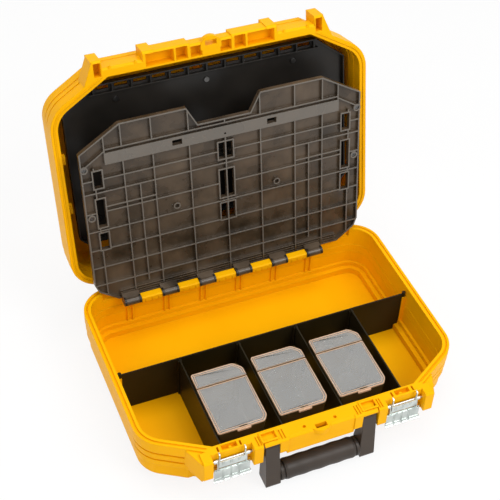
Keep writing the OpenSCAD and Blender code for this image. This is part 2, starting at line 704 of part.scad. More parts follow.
module leaf_ribs() {
    // ribs along the leaf
    mirrored() {
        for (x = full_ribs) {
            leaf_box(x - rib_t / 2, 1, rib_z, x + rib_t / 2, bar_v[0], leaf_plate_z + 1);
            leaf_box(x - rib_t / 2, bar_v[1] + 4, rib_z, x + rib_t / 2, x < 40 ? leaf_l - notch_low - 1 : leaf_l - 1, leaf_plate_z + 1);
        }
        leaf_box(short_ribs[0] - rib_t / 2, 20, rib_z, short_ribs[0] + rib_t / 2, 183, leaf_plate_z + 1);
        leaf_box(short_ribs[1] - rib_t / 2, 14, rib_z, short_ribs[1] + rib_t / 2, 222, leaf_plate_z + 1);
        // short doubled rib, and the rib at the end of the bar
        leaf_box(full_ribs[2], 158, rib_z, short_ribs[1], 158 + rib_t, leaf_plate_z + 1);
        leaf_box(bar_half - rib_t, bar_v[0], rib_z, bar_half, leaf_l - 10, leaf_plate_z + 1);
        translate([bar_half - 1, leaf_to_y(bar_v[1] + 4), rib_z]) rotate([0, 0, 33])
            cube([41, rib_t, rib_h + 1]);
    }
    for (v = cross_ribs)
        leaf_box(-leaf_w / 2 + 1, v - rib_t / 2, rib_z, leaf_w / 2 - 1, v + rib_t / 2, leaf_plate_z + 1);
    // fine lines along the hinged edge
    for (v = [4, 8, 12])
        leaf_box(-leaf_w / 2 + 36, v, rib_z + 1, leaf_w / 2 - 36, v + 1.2, leaf_plate_z + 1);
    // raised bar
    leaf_box(-bar_half, bar_v[0], rib_z - 0.6, bar_half, bar_v[1], leaf_plate_z + 1);
    leaf_box(-bar_half, bar_v[1] + 4, rib_z, bar_half, bar_v[1] + 4 + rib_t, leaf_plate_z + 1);
}

leaf_screw_at = [[leaf_x - 5, 222], [leaf_x - 8, 145]];
post_at = [75.3, 132.5];

module leaf_panel() {
    color(black) leaf_place() difference() {
        union() {
            translate([0, 0, leaf_plate_z]) linear_extrude(leaf_t) leaf_outline(0);
            translate([0, 0, rib_z]) linear_extrude(rib_h + 1) difference() {
                leaf_outline(0);
                leaf_outline(2);
            }
            intersection() {
                leaf_ribs();
                translate([0, 0, rib_z - 1]) linear_extrude(rib_h + leaf_t + 1) leaf_outline(0.5);
            }
            mirrored() {
                for (p = leaf_screw_at)
                    translate([p[0], leaf_to_y(p[1]), rib_z - 0.5]) cylinder(h = rib_h + 1, r = 5.5);
                translate([post_at[0], leaf_to_y(post_at[1]), rib_z]) cylinder(h = rib_h + 1, r = 5);
                // frames of the windows
                for (w = window_v) {
                    leaf_box(window_x - 2, w[0] - 1.6, rib_z, window_x + window_w + 2, w[1] + 1.6, leaf_plate_z + 1);
                    leaf_box(-eps, w[0] - 1.6, rib_z, 12.5, w[1] + 1.6, leaf_plate_z + 1);
                }
            }
            // knuckles
            for (k = [0 : leaf_knuckles - 1]) {
                x = first_knuckle + k * knuckle_pitch;
                rod(x - knuckle_l / 2, x + knuckle_l / 2, leaf_y, leaf_z, leaf_knuckle_r);
                slab_x(x - knuckle_l / 2, x + knuckle_l / 2, [
                    [leaf_y + leaf_knuckle_r - eps, leaf_z], [leaf_y + leaf_knuckle_r - 1, rib_z + 2],
                    [leaf_to_y(1), leaf_plate_z + leaf_t - eps], [leaf_to_y(7), leaf_plate_z + leaf_t - eps],
                    [leaf_to_y(7), rib_z + 1], [leaf_y - leaf_knuckle_r + eps, leaf_z]
                ]);
            }
        }
        rod(first_knuckle - knuckle_l, first_knuckle + leaf_knuckles * knuckle_pitch, leaf_y, leaf_z, rod_r + run);
        mirrored() {
            for (p = leaf_screw_at)
                translate([p[0], leaf_to_y(p[1]), rib_z - 1]) cylinder(h = 4, r = 3.4);
            translate([post_at[0], leaf_to_y(post_at[1]), rib_z - 1]) cylinder(h = rib_h + 1, r = 3.4);
            for (w = window_v) {
                leaf_box(window_x, w[0] + 0.4, rib_z - 1, window_x + window_w, w[1] - 0.4, leaf_plate_z + leaf_t + 1);
                leaf_box(1, w[0] + 0.4, rib_z - 1, 10.5, w[1] - 0.4, leaf_plate_z + leaf_t + 1);
            }
            leaf_box(62, 229, rib_z - 1, 76, 237.5, leaf_plate_z + leaf_t + 1);
        }
        translate([0, leaf_to_y(230), rib_z - 1]) cylinder(h = 5, r = 1.5);
    }
}

module leaf_hinge_rod() {
    color(steel)
        rod(first_knuckle - knuckle_l / 2 + 1, first_knuckle + (leaf_knuckles - 1) * knuckle_pitch + knuckle_l / 2 - 1,
            leaf_y, leaf_z, rod_r);
}

module leaf_screws() {
    color(steel) leaf_place() mirrored() for (p = leaf_screw_at)
        translate([p[0], leaf_to_y(p[1]), rib_z + 0.8]) difference() {
            cylinder(h = 2.2, r = 3);
            translate([0, 0, -1]) cylinder(h = 2, r = 1.2, $fn = 6);
        }
}

// ---- handle ----------------------------------------------------------------------------------
grip_y = pivot_y + arm_depth / 2 - foot_out;
grip_z = base_h - grip_drop;
grip_end = arm_x - arm_w / 2 - foot_flare / 2;
arm_low = grip_z - grip_r + 0.5;
foot_y = pivot_y - foot_out;

// Arm of the right side: side view and front view cut from each other
module arm() {
    intersection() {
        slab_x(arm_x - arm_w, arm_x + arm_w, [
            [pivot_y - arm_r, pivot_z], [foot_y, arm_low + 3], [foot_y + 0.5, arm_low],
            [foot_y + arm_depth - 1, arm_low], [foot_y + arm_depth, arm_low + 2], [foot_y + arm_depth, arm_low + 22],
            [pivot_y + arm_r - 1, arm_low + 36], [pivot_y + arm_r, pivot_z]
        ]);
        translate([arm_x, pivot_y + 40, 0]) rotate([90, 0, 0]) linear_extrude(80) polygon([
            [-arm_w / 2, pivot_z + 1], [-arm_w / 2, pivot_z - 22], [-arm_w / 2 - foot_flare / 2, arm_low + 26],
            [-arm_w / 2 - foot_flare / 2, arm_low - 1], [arm_w / 2, arm_low - 1], [arm_w / 2, pivot_z + 1]
        ]);
    }
}

module handle_bail() {
    color(brown_grey) difference() {
        union() {
            mirrored() {
                rod(arm_x - arm_w / 2, arm_x + arm_w / 2, pivot_y, pivot_z, arm_r);
                arm();
            }
            rod(-grip_end - 1, grip_end + 1, grip_y, grip_z, bar_r);
        }
        mirrored() rod(arm_x - arm_w, arm_x + arm_w, pivot_y, pivot_z, pivot_pin_r + run);
    }
}

module handle_grip() {
    rib_pitch = (2 * grip_end - 12) / grip_ribs;
    color(brown_grey) difference() {
        union() {
            rod(-grip_end + seat, grip_end - seat, grip_y, grip_z, grip_r - 1);
            for (k = [0 : grip_ribs - 1]) {
                x = -grip_end + 6 + k * rib_pitch;
                rod(x + 1, x + rib_pitch - 1, grip_y, grip_z, grip_r);
            }
        }
        rod(-grip_end - 1, grip_end + 1, grip_y, grip_z, bar_r + 0.05);
    }
}

module handle_pins() {
    color(steel) mirrored() rod(inner_block + 5, bay_in - 5, pivot_y, pivot_z, pivot_pin_r);
}

// ---- latches ---------------------------------------------------------------------------------
latch_y = bay_y - 2.6;
latch_z = base_h - 13.5;
hook_y = latch_y - 1.1;
hook_z = base_h - 24;
ear_t = 1.6;
ear_r = 2.3;
plate_top = hook_z - 3.2;
plate_y = hook_y - hook_pin_r;
lip_out = 2.5;
hook_face = hook_y - hook_pin_r - latch_t;
claw_in = hook_face + 3;

module at_latch(side) {
    translate([side * bay_x, 0, 0]) children();
}

module latch_pin(side) {
    color(steel) at_latch(side) rod(-bay_w / 2 - 4, bay_w / 2 + 4, latch_y, latch_z, latch_pin_r);
}

module latch_lever(side) {
    low = plate_top - lever_h;
    ear_x = hook_w / 2 + side_gap;
    color(steel) at_latch(side) difference() {
        union() {
            // ears that reach from the pin to the grooved plate
            for (x = [-ear_x - ear_t, ear_x])
                slab_x(x, x + ear_t, [
                    [latch_y + ear_r, latch_z], [latch_y + 1, latch_z + ear_r], [latch_y - ear_r, latch_z + 1],
                    [hook_y - 2.2, hook_z + 1], [plate_y - latch_t, plate_top], [plate_y - latch_t, plate_top - 6],
                    [plate_y, plate_top - 6], [hook_y + 2.4, hook_z - 1], [hook_y + 2.4, hook_z + 3]
                ]);
            // plate with three paired grooves between its raised fields, and its lip
            box([-lever_w / 2, plate_y - latch_t, low], [lever_w / 2, plate_y, plate_top]);
            for (x = [-16.5, -8.5, -0.5, 7.5])
                box([x, plate_y - latch_t - 0.5, low + 1], [x + 6, plate_y - latch_t + eps, plate_top - 0.5]);
            slab_x(-lever_w / 2, lever_w / 2, [
                [plate_y, low + 1.5], [plate_y, low], [plate_y - lip_out, low - 2.5],
                [plate_y - lip_out - 1, low - 1.5], [plate_y - latch_t, low + 1.5]
            ]);
        }
        rod(-lever_w, lever_w, latch_y, latch_z, latch_pin_r + run);
        rod(-lever_w, lever_w, hook_y, hook_z, hook_pin_r + run);
    }
}

module latch_hook_pin(side) {
    color(steel) at_latch(side)
        rod(-hook_w / 2 - side_gap - ear_t, hook_w / 2 + side_gap + ear_t, hook_y, hook_z, hook_pin_r);
}

module latch_hook(side) {
    top = hook_z + hook_h;
    claw_t = 1.6;
    color(steel) at_latch(side) difference() {
        union() {
            rod(-hook_w / 2, hook_w / 2, hook_y, hook_z, hook_pin_r + latch_t);
            box([-hook_w / 2, hook_face, hook_z], [hook_w / 2, hook_face + latch_t, top]);
            for (x = [-hook_w / 2, hook_w / 2 - claw_t])
                slab_x(x, x + claw_t, [
                    [hook_face, top - 3], [hook_face + latch_t, top - 3], [hook_face + latch_t, top + 2.5],
                    [hook_face + 2.2, top + 4], [hook_face + 2.2, top + claw_up - 1.5],
                    [hook_face + 5, top + claw_up - 1.2], [hook_face + 4.4, top + claw_up - 0.2],
                    [hook_face + 1.8, top + claw_up], [hook_face, top + claw_up - 1.4]
                ]);
        }
        rod(-lever_w, lever_w, hook_y, hook_z, hook_pin_r + run);
    }
}

// ---- dividers --------------------------------------------------------------------------------
divider_low = bed_z + seat;
divider_top = bed_z + divider_h;
slot_guide = 4;

module long_divider() {
    front = divider_y - divider_t / 2;
    color(black) {
        box([-long_end[2], front, divider_low], [long_end[2], front + divider_t, divider_top]);
        box([-long_end[1], front, step_z[1] + seat], [long_end[1], front + divider_t, divider_top]);
        box([-long_end[0], front, step_z[0] + seat], [long_end[0], front + divider_t, divider_top]);
        for (x = [-divider_end + 1.5, divider_end - 1.5])
            translate([x, divider_y, divider_top - 5]) cylinder(h = 8, r = 2.6);
        // paired ribs that hold the rear edges of the cross dividers
        for (x = cross_x, dx = [-divider_t / 2 - seat - guide_t, divider_t / 2 + seat])
            box([x + dx, front - slot_guide, divider_low], [x + dx + guide_t, front + eps, divider_top - 2]);
    }
}

// A cross divider follows the ledges of the front wall.
module cross_divider(k) {
    x = cross_x[k] - divider_t / 2;
    rear = divider_y - divider_t / 2 - seat;
    color(black) slab_x(x, x + divider_t, [
        [rear, divider_low], [rear, divider_top], [cross_end + seat, divider_top], [cross_end + seat, ledge_z + seat],
        [cross_low_y[0], ledge_z + seat], [cross_low_y[0], step_z[0] + seat], [cross_low_y[1], step_z[0] + seat],
        [cross_low_y[1], step_z[1] + seat], [cross_low_y[2], step_z[1] + seat], [cross_low_y[2], divider_low]
    ]);
}

// ---- bins ------------------------------------------------------------------------------------
bin_y0 = inner_front + bin_front;
bin_lid_t = 1.8;
bin_lip = 1;
bin_low = bed_z + seat;
bin_top = bin_low + bin_h;
crease_y = bin_y0 + bin_l - bin_crease;

function bin_x0(k) = cross_x[k] + divider_t / 2 + 0.6 + bin_lip;

module bin_outline(k, i) {
    x0 = bin_x0(k) + i;
    x1 = bin_x0(k) + bin_w - 2 * bin_lip - i;
    y0 = bin_y0 + bin_lip + i;
    y1 = bin_y0 + bin_l - bin_lip - i;
    cut = bin_cut - i * 0.6;
    polygon([[x0 + 2, y0], [x1 - cut * 0.6, y0], [x1, y0 + cut], [x1, y1 - cut], [x1 - cut * 0.6, y1], [x0 + 2, y1],
             [x0, y1 - 2], [x0, y0 + 2]]);
}

// Everything behind the sloping front of a bin
module behind_front(k, t) {
    slab_x(bin_x0(k) - 5, bin_x0(k) + bin_w + 5, [
        [bin_y0 + bin_lip + bin_draft + t, bin_low - 5], [bin_y0 + bin_lip + bin_draft + t, bin_low],
        [bin_y0 + bin_lip + t, bin_top], [bin_y0 + bin_lip + t, bin_top + 20],
        [bin_y0 + bin_l + 9, bin_top + 20], [bin_y0 + bin_l + 9, bin_low - 5]
    ]);
}

module bin_cup(k) {
    color(frosted) {
        difference() {
            intersection() {
                translate([0, 0, bin_low]) linear_extrude(bin_h - bin_lid_t - seat) bin_outline(k, 0);
                behind_front(k, 0);
            }
            intersection() {
                translate([0, 0, bin_low + bin_wall]) linear_extrude(bin_h) bin_outline(k, bin_wall);
                behind_front(k, bin_wall);
            }
        }
        // rim under the lid, and the fixed cover behind the crease
        translate([0, 0, bin_top - bin_lid_t - seat - 3]) linear_extrude(2) difference() {
            bin_outline(k, -bin_lip);
            bin_outline(k, bin_wall / 2);
        }
        difference() {
            translate([0, 0, bin_top - bin_lid_t - seat - eps]) linear_extrude(bin_lid_t + seat) bin_outline(k, -bin_lip);
            box([bin_x0(k) - 5, bin_y0 - 5, bin_low], [bin_x0(k) + bin_w + 5, crease_y + seat, bin_top + 1]);
        }
    }
}

module bin_lid(k) {
    mid = bin_x0(k) + bin_w / 2 - bin_lip;
    color(frosted) {
        difference() {
            translate([0, 0, bin_top - bin_lid_t]) linear_extrude(bin_lid_t) bin_outline(k, -bin_lip);
            box([bin_x0(k) - 5, crease_y, bin_low], [bin_x0(k) + bin_w + 5, bin_y0 + bin_l + 5, bin_top + 1]);
            box([mid - 7, bin_y0 + 1.2, bin_low], [mid + 7, bin_y0 + 2.6, bin_top + 1]);
        }
        // rib round the top of the lid, thumb tab
        translate([0, 0, bin_top - eps]) linear_extrude(0.9) difference() {
            bin_outline(k, 0.6);
            bin_outline(k, 2.2);
            translate([bin_x0(k) - 5, crease_y - 2]) square([bin_w + 10, bin_l]);
        }
        box([mid - 9, bin_y0 - 2.5, bin_top - 5], [mid + 9, bin_y0 - 0.6, bin_top]);
        box([mid - 9, bin_y0 - 2.5, bin_top - bin_lid_t], [mid + 9, bin_y0 + 0.5, bin_top]);
    }
}

base_shell();
lid_shell();
hinge_pins();
lid_panel();
lid_panel_screws();
tool_rail();
leaf_panel();
leaf_hinge_rod();
leaf_screws();
handle_bail();
handle_grip();
handle_pins();
latch_pin(-1);  // latch_left_pin
latch_lever(-1);  // latch_left_lever
latch_hook_pin(-1);  // latch_left_hook_pin
latch_hook(-1);  // latch_left_hook
latch_pin(1);  // latch_right_pin
latch_lever(1);  // latch_right_lever
latch_hook_pin(1);  // latch_right_hook_pin
latch_hook(1);  // latch_right_hook
long_divider();
cross_divider(0);  // cross_divider_1
cross_divider(1);  // cross_divider_2
cross_divider(2);  // cross_divider_3
cross_divider(3);  // cross_divider_4
bin_cup(0);  // bin_1_cup
bin_lid(0);  // bin_1_lid
bin_cup(1);  // bin_2_cup
bin_lid(1);  // bin_2_lid
bin_cup(2);  // bin_3_cup
bin_lid(2);  // bin_3_lid
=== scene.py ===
# %% [markdown]
# # Hard tool case
#
# The real case is two moulded shells on a pair of hinges, with a folding leaf, dividers, three
# bins, a handle and two draw latches. Its solids were built and packed before this script runs.
# They could be modelled anew here, but they already have the true sizes and joints, so they are
# kept as the frame: every solid gets a material, and finer pieces take the place of the few that
# need them. Lengths are in metres, +X is to the right, +Y to the hinge and +Z up.

import json
import math

import bmesh
import bpy
from mathutils import Matrix, Vector


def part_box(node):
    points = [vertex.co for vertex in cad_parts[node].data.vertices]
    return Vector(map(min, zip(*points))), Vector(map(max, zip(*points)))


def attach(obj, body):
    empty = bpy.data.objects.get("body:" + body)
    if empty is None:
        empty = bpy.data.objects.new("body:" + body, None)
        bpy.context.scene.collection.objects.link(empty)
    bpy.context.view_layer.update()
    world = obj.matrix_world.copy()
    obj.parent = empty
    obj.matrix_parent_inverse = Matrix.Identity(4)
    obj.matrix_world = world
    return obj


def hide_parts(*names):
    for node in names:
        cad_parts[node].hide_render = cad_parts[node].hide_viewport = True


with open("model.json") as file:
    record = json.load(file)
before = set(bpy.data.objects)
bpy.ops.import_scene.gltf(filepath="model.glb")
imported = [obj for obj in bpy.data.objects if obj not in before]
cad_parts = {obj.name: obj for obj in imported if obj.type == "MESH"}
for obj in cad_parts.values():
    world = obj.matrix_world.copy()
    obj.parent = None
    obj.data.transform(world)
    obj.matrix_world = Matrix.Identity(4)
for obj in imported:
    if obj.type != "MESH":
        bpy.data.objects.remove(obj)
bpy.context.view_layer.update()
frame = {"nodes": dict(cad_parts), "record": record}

# %% [markdown]
# ## A material as a tree of nodes
#
# No surface of a used case has one flat colour. A material could be painted on an image, but nodes
# give detail at any distance and need no file. Each tree reads object coordinates, so its pattern
# stays on the piece when the piece moves. The same few nodes come back in every finish, so a small
# class gives them short calls.

# %% A new material and its first nodes
class Tree:
    """A new material with its output, its shader and its coordinates."""

    def __init__(self, name):
        self.material = bpy.data.materials.new(name)
        self.material.use_nodes = True
        self.tree = self.material.node_tree
        self.tree.nodes.clear()
        self.out = self.add("ShaderNodeOutputMaterial")
        self.shader = self.add("ShaderNodeBsdfPrincipled")
        self.link(self.shader, "BSDF", self.out, "Surface")
        self.coords = self.add("ShaderNodeTexCoord")

    def add(self, kind, **inputs):
        node = self.tree.nodes.new(kind)
        for key, value in inputs.items():
            node.inputs[key].default_value = value
        return node

    def link(self, a, a_out, b, b_in):
        self.tree.links.new(a.outputs[a_out], b.inputs[b_in])


print("made Tree, with add and link")

# %% [markdown]
# ## Clouds, gloss and relief
#
# Moulded and plated surfaces share three things: clouds of slightly different tone, gloss that
# changes with them, and a fine relief. A texture for each would do, but one noise drives both tone
# and gloss here, so a paler patch is also a rougher one. The relief can soften the edges as well.

# %% Short calls for the patterns
DARK_AT, LIGHT_AT = 0.3, 0.7
BEVEL_SAMPLES = 4


class Nodes(Tree):
    """Short calls for the patterns that the finishes share."""

    def noise(self, scale, detail=3.0, stretch=(1, 1, 1)):
        mapping = self.add("ShaderNodeMapping", Scale=stretch)
        self.link(self.coords, "Object", mapping, "Vector")
        noise = self.add("ShaderNodeTexNoise", Scale=scale, Detail=detail)
        self.link(mapping, "Vector", noise, "Vector")
        return noise

    def colour(self, noise, dark, light):
        """Colour that goes from dark to light with a noise."""
        ramp = self.add("ShaderNodeValToRGB")
        stops = zip(ramp.color_ramp.elements, (DARK_AT, LIGHT_AT), (dark, light))
        for element, place, tone in stops:
            element.position = place
            element.color = (*tone, 1)
        self.link(noise, "Fac", ramp, "Fac")
        return ramp

    def map(self, source, output, low, high):
        node = self.add("ShaderNodeMapRange")
        node.inputs["To Min"].default_value = low
        node.inputs["To Max"].default_value = high
        self.link(source, output, node, "Value")
        return node

    def roughness(self, noise, rough):
        """Roughness between two values, from the same clouds as the colour."""
        self.link(self.map(noise, "Fac", *rough), "Result", self.shader, "Roughness")

    def bump(self, noise, strength, distance, edge=0.0):
        """Fine relief, and edges that are softened by a radius."""
        bump = self.add("ShaderNodeBump", Strength=strength, Distance=distance)
        self.link(noise, "Fac", bump, "Height")
        if edge:
            bevel = self.add("ShaderNodeBevel", Radius=edge)
            bevel.samples = BEVEL_SAMPLES
            self.link(bevel, "Normal", bump, "Normal")
        self.link(bump, "Normal", self.shader, "Normal")


print("made Nodes: tones from", DARK_AT, "to", LIGHT_AT, "of a noise")

# %% [markdown]
# ## Painted highlight on the ribs of the leaf
#
# The ribs of the leaf stand proud of its field, and their tops are painted paler: a painted
# highlight where they catch the light. The tops could be given a second material face by face, but
# the solid's mesh is left as it came. A plane that lies along the open leaf does it instead:
# whatever stands past it is mixed with a paler tint. The knuckles stand past it too, so the tint
# fades out close to the rod.

# %% Painted highlight: paler tint past a plane
# numbered sockets of a Mix node that is set to colours
MIX_A, MIX_B, MIX_RESULT = 6, 7, 2
# share of the paler tint in the painted highlight on the rib tops
RIB_HIGHLIGHT_SHARE = 0.75
FADE_FAR, FADE_NEAR = 0.016, 0.010


class Output:
    """One numbered output of a node, so that it can be linked by the name Color."""

    def __init__(self, node, number):
        self.outputs = {"Color": node.outputs[number]}


def painted_rib_highlight(n, colour, tilt, centre, height, depth, tint):
    """Painted highlight: mix a tint into a colour past a plane that is turned about X through a
    centre.
    """
    y, z = centre
    turned = n.add("ShaderNodeMapping")
    turned.inputs["Rotation"].default_value = (tilt, 0, 0)
    along = -y * math.sin(tilt) - z * math.cos(tilt)
    turned.inputs["Location"].default_value = (0, 0, along)
    n.link(n.coords, "Object", turned, "Vector")
    axes = n.add("ShaderNodeSeparateXYZ")
    n.link(turned, "Vector", axes, "Vector")
    high = n.map(axes, "Z", RIB_HIGHLIGHT_SHARE, 0.0)
    high.inputs["From Min"].default_value = height
    high.inputs["From Max"].default_value = height + depth
    near = n.map(axes, "Y", 1.0, 0.0)
    start = y * math.cos(tilt) - z * math.sin(tilt)
    near.inputs["From Min"].default_value = start - FADE_FAR
    near.inputs["From Max"].default_value = start - FADE_NEAR
    share = n.add("ShaderNodeMath")
    share.operation = "MULTIPLY"
    n.link(high, "Result", share, 0)
    n.link(near, "Result", share, 1)
    mix = n.add("ShaderNodeMix")
    mix.data_type = "RGBA"
    n.link(share, "Value", mix, "Factor")
    n.tree.links.new(colour.outputs["Color"], mix.inputs[MIX_A])
    mix.inputs[MIX_B].default_value = (*tint, 1)
    return Output(mix, MIX_RESULT)


print("rubbed: tint fades between", FADE_FAR, "and", FADE_NEAR, "from the rod")

# %% [markdown]
# ## Moulded plastic
#
# The shells, panel, leaf, handle and dividers are injection moulded. Up close such a surface has a
# fine grain from the mould, colour that drifts slowly, and edges that are never quite sharp. The
# edges could be bevelled as geometry, but the solids have thousands of them, so a Bevel node
# softens their shading and leaves the shape alone.

# %% Finish: moulded plastic
GRAIN_DEPTH = 0.00006
GRAIN_STRENGTH = 0.25


def plastic(name, dark, light, rough=(0.35, 0.5), grain=900.0, edge=0.0008, drift=9.0,
            specular=0.5, rib_highlight=None):
    """Moulded plastic: slow colour drift, fine grain, softened edges, and a painted highlight on
    the rib tops if asked for.
    """
    n = Nodes(name)
    clouds = n.noise(drift, detail=4)
    colour = n.colour(clouds, dark, light)
    # paler tint past a plane: a painted highlight on the rib tops
    if rib_highlight:
        colour = painted_rib_highlight(n, colour, *rib_highlight)
    n.link(colour, "Color", n.shader, "Base Color")
    fine = n.noise(grain, detail=2)
    n.roughness(clouds, rough)
    n.bump(fine, GRAIN_STRENGTH, GRAIN_DEPTH, edge)
    n.shader.inputs["Specular IOR Level"].default_value = specular
    return n.material


print("plastic: grain", GRAIN_DEPTH * 1e6, "microns deep")

# %% [markdown]
# ## Plated sheet steel
#
# The latches are pressed from zinc-plated sheet. The plating is cloudy, and rolling the sheet left
# fine lines in it. Anisotropic gloss could give the lines, but it needs tangents on every piece. A
# noise that is stretched along one axis gives them through the bump alone.

# %% Finish: plated steel
STEEL_ROUGH = (0.22, 0.4)
STEEL_EDGE = 0.0003
ROLLED_STRETCH = (1, 8, 0.2)


def sheet_steel(name, dark, light):
    """Zinc-plated pressed steel: cloudy plating with fine rolled lines."""
    n = Nodes(name)
    clouds = n.noise(scale=55, detail=6)
    n.link(n.colour(clouds, dark, light), "Color", n.shader, "Base Color")
    rolled = n.noise(scale=500, detail=2, stretch=ROLLED_STRETCH)
    n.roughness(clouds, STEEL_ROUGH)
    n.bump(rolled, strength=0.15, distance=0.00005, edge=STEEL_EDGE)
    n.shader.inputs["Metallic"].default_value = 1.0
    return n.material


print("steel: roughness", STEEL_ROUGH)

# %% [markdown]
# ## Clear plastic of the bins
#
# The cups are clear, and their dark brown tint is painted shade: the shadow in their cells and the
# dark dividers seen through them. The covers are frosted. Full transmission with a true refraction
# would bend everything behind these thin walls and take long to render. A low IOR, part
# transmission and part alpha look much the same, and they stay plain to export.

# %% Finish: clear plastic
CLEAR_IOR = 1.1
CLEAR_SHADE = 0.95


def clear_plastic(name, tint, transmission, rough, alpha):
    """Thin clear plastic: it lets part of the light through and keeps a soft gloss."""
    n = Nodes(name)
    clouds = n.noise(scale=30, detail=3)
    shaded = [c * CLEAR_SHADE for c in tint]
    n.link(n.colour(clouds, shaded, tint), "Color", n.shader, "Base Color")
    n.roughness(clouds, rough)
    n.bump(n.noise(scale=500, detail=2), strength=0.15, distance=0.00004)
    n.shader.inputs["Transmission Weight"].default_value = transmission
    n.shader.inputs["IOR"].default_value = CLEAR_IOR
    n.shader.inputs["Alpha"].default_value = alpha
    return n.material


print("clear plastic: IOR", CLEAR_IOR)

# %% [markdown]
# ## The plastics of the case
#
# Six plastics differ in colour, gloss and grain. One material with a colour per object could serve
# them all, but the leaf is glossier than the panel behind it and the grip is a softer rubber, so
# each has a material of its own, made by the same function.

# %% Yellow shells and ribbed leaf
def joint_at(name):
    """Place of a joint, from the record that comes with the frame."""
    joints = frame["record"]["behaviour"]["joints"]
    return next(joint for joint in joints if joint["name"] == name)["pos_m"]


LEAF_TILT = math.radians(99.4)
ROD = Vector(joint_at("leaf_hinge"))
RIB_EDGE, RIB_FADE = 0.0085, 0.0014
# tint of the painted highlight on the leaf's rib tops
RIB_HIGHLIGHT_TINT = (0.16, 0.145, 0.125)

YELLOW = plastic("yellow_shell", (0.91, 0.430, 0.001), (0.98, 0.480, 0.002),
                 rough=(0.32, 0.44), edge=0.0016, specular=0.05)
LEAF = plastic("warm_black_leaf", (0.026, 0.017, 0.009), (0.105, 0.072, 0.044),
               rough=(0.2, 0.36), drift=24, edge=0.0005, specular=0.45,
               rib_highlight=(LEAF_TILT, (ROD.y, ROD.z), RIB_EDGE, RIB_FADE, RIB_HIGHLIGHT_TINT))
print("rod of the leaf at", [round(c, 4) for c in ROD])

# %% Panel, handle, grip and dividers
PANEL = plastic("black_panel", (0.007, 0.006, 0.005), (0.018, 0.015, 0.012),
                rough=(0.28, 0.46), drift=14, specular=0.35)
HANDLE = plastic("handle_plastic", (0.044, 0.030, 0.020), (0.060, 0.042, 0.029),
                 rough=(0.34, 0.46), edge=0.0012, specular=0.3)
GRIP = plastic("grip_rubber", (0.036, 0.028, 0.022), (0.052, 0.040, 0.032),
               rough=(0.38, 0.52), grain=1500, specular=0.3)
DIVIDER = plastic("divider_plastic", (0.010, 0.007, 0.002), (0.022, 0.016, 0.007),
                  rough=(0.3, 0.45), edge=0.0005, specular=0.12)
print("dark plastics:", [m.name for m in (PANEL, HANDLE, GRIP, DIVIDER)])

# %% [markdown]
# ## Steels and clear plastics of the case
#
# The latches are bright, the pins a little duller and the screws nearly black. The cups' dark brown
# tint is painted shade. The covers of the bins need two clear plastics, because their rounded edge
# gets a warmer tint than the field inside it: a painted reflection of the yellow case around them.

# %% Latches, pins, screws, cups and covers
LATCH = sheet_steel("latch_zinc", (0.47, 0.51, 0.49), (0.72, 0.77, 0.74))
PIN = sheet_steel("pin_steel", (0.42, 0.43, 0.43), (0.66, 0.67, 0.67))
SCREW = sheet_steel("dark_screws", (0.08, 0.078, 0.075), (0.20, 0.195, 0.19))
# dark brown tint of the cups: painted shade of their cells and of the dark dividers behind them
CUP_PAINTED_SHADE = clear_plastic("bin_cup", (0.075, 0.052, 0.020), transmission=0.3, rough=(0.22, 0.36),
                    alpha=0.85)
LID_CLEAR = clear_plastic("bin_lid_clear", (0.80, 0.80, 0.78), transmission=0.45,
                          rough=(0.12, 0.24), alpha=0.40)
# warm peach tint of the covers' rounded edge: a painted reflection of the yellow case
LID_EDGE_PAINTED_REFLECTION = clear_plastic("bin_lid_edge_painted_reflection", (0.80, 0.54, 0.36), transmission=0.2,
                         rough=(0.2, 0.34), alpha=0.92)
print("steels and clear plastics:", [m.name for m in (LATCH, PIN, SCREW, CUP_PAINTED_SHADE, LID_CLEAR, LID_EDGE_PAINTED_REFLECTION)])

# %% [markdown]
# ## A material for every solid
#
# The record says which slot each solid belongs to, so one table from slot to material dresses them
# all and none can be missed. The screws share the pins' slot but are darker, so they are changed
# afterwards.

# %% Dress the solids
MATERIAL_OF_SLOT = {
    "shell_plastic": YELLOW,
    "leaf_plastic": LEAF,
    "panel_plastic": PANEL,
    "handle_plastic": HANDLE,
    "grip_rubber": GRIP,
    "divider_plastic": DIVIDER,
    "latch_steel": LATCH,
    "pin_steel": PIN,
    "bin_plastic": CUP_PAINTED_SHADE,
}
for part in frame["record"]["subparts"]:
    node = frame["nodes"][part["node"]]
    node.data.materials.clear()
    node.data.materials.append(MATERIAL_OF_SLOT[part["material_slot"]])
for name in ("lid_panel_screws", "leaf_screws"):
    frame["nodes"][name].data.materials[0] = SCREW

# %% [markdown]
# ## Making a piece
#
# A new piece is shaped as a bmesh, straight in its place, so its object needs no move or turn. Its
# doubles are merged and its normals turned outwards. Flat and round parts meet on most pieces:
# smooth shading alone would smear the corners, so edges over a given angle stay sharp. Then it is
# told which body carries it, so that it moves with that body.

# %% Turn a bmesh into a piece
def add_piece(name, bm, body, materials, sharp=35):
    bmesh.ops.remove_doubles(bm, verts=bm.verts, dist=1e-6)
    bmesh.ops.recalc_face_normals(bm, faces=bm.faces)
    mesh = bpy.data.meshes.new(name)
    bm.to_mesh(mesh)
    bm.free()
    mesh.shade_smooth()
    mesh.set_sharp_from_angle(angle=math.radians(sharp))
    for material in materials:
        mesh.materials.append(material)
    piece = bpy.data.objects.new(name, mesh)
    bpy.context.scene.collection.objects.link(piece)
    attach(piece, body)
    print(name, len(mesh.polygons), "faces on", body)
    return piece


# %% Rings and the skins between them
def ring(bm, centre, turn, radius, count):
    """Circle of vertices, turned and moved into place."""
    made = bmesh.ops.create_circle(bm, segments=count, radius=radius)["verts"]
    bmesh.ops.transform(bm, matrix=Matrix.Translation(centre) @ turn, verts=made)
    return made


